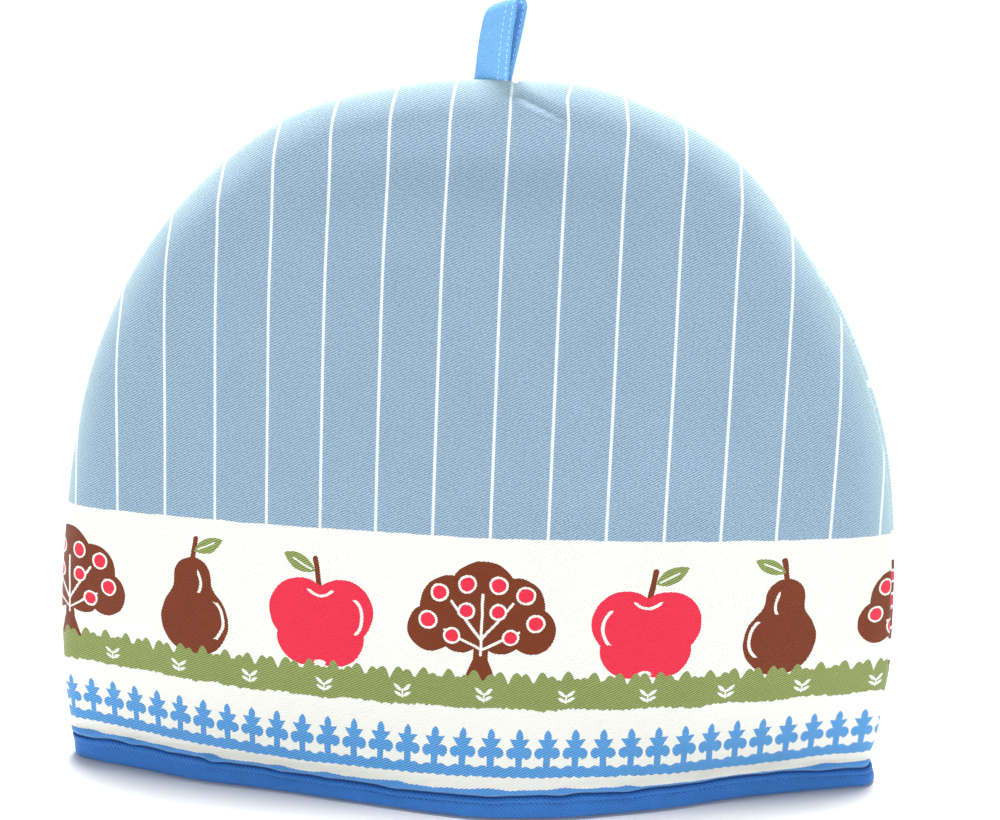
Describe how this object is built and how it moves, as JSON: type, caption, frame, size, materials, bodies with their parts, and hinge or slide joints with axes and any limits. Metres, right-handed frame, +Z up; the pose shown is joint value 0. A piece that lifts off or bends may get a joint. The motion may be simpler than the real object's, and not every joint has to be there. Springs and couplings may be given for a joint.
{
  "type": "tea cosy",
  "caption": "Padded dome-shaped tea cosy, flat and tall, standing open on its bound hem, with a tape loop on top.",
  "frame": {"origin": "middle of the cosy, on the surface that its hem stands on", "axes": "+X from side seam to side seam, to the viewer's right; the front panel faces -Y; +Z up"},
  "size_m": [0.3573, 0.0836, 0.3237],
  "materials": {
    "striped_twill": "matte",
    "royal_blue_cotton": "matte"
  },
  "bodies": {
    "root": {"front_panel": "striped_twill", "back_panel": "striped_twill", "hem_binding": "royal_blue_cotton", "hang_loop": "royal_blue_cotton"}
  },
  "joints": []
}
